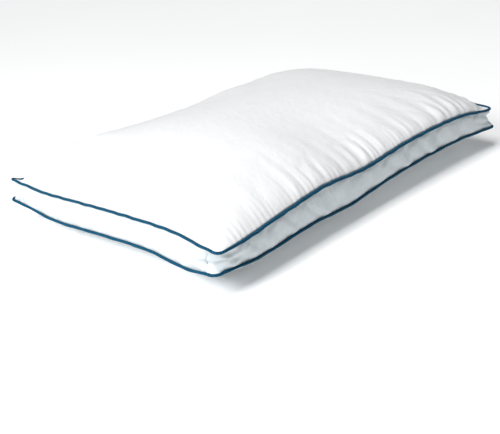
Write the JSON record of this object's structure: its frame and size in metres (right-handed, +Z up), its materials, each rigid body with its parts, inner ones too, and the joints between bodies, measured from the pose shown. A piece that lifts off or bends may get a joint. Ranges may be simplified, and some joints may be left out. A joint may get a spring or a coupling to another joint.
{
  "type": "bed pillow",
  "caption": "Boxed bed pillow: two crowned white panels joined by an upright gusset, with dark blue piping in both seams, filled with soft fibre.",
  "frame": {"origin": "centre of the flat patch on the underside that the pillow rests on", "axes": "+X along the length, towards the end with the label; +Y across the width, towards the side with the closing stitches; +Z up"},
  "size_m": [0.7607, 0.5084, 0.1456],
  "materials": {
    "panel_cloth": "smooth white sateen",
    "gusset_cloth": "smooth white sateen",
    "piping_tape": "dark blue bias tape",
    "filler_cord": "twisted cotton cord",
    "sewing_thread": "spun polyester thread",
    "fibre": "loose polyester fibre",
    "label_tape": "blank satin tape"
  },
  "bodies": {
    "pillow": {"top_panel": "panel_cloth", "bottom_panel": "panel_cloth", "gusset_front": "gusset_cloth", "gusset_back": "gusset_cloth", "gusset_left": "gusset_cloth", "gusset_right": "gusset_cloth", "top_piping_cover": "piping_tape", "bottom_piping_cover": "piping_tape", "top_piping_cord": "filler_cord", "bottom_piping_cord": "filler_cord", "top_seam_thread": "sewing_thread", "bottom_seam_thread": "sewing_thread", "gusset_joining_thread": "sewing_thread", "closing_stitches": "sewing_thread", "fibre_fill": "fibre"},
    "care_label": {"care_label": "label_tape"}
  },
  "joints": [
    {"name": "label_flap", "type": "hinge", "parent": "pillow", "child": "care_label", "pos_m": [0.3738, 0, 0.0828], "axis": [0, -1, 0], "range_deg": [0, 90]}
  ]
}
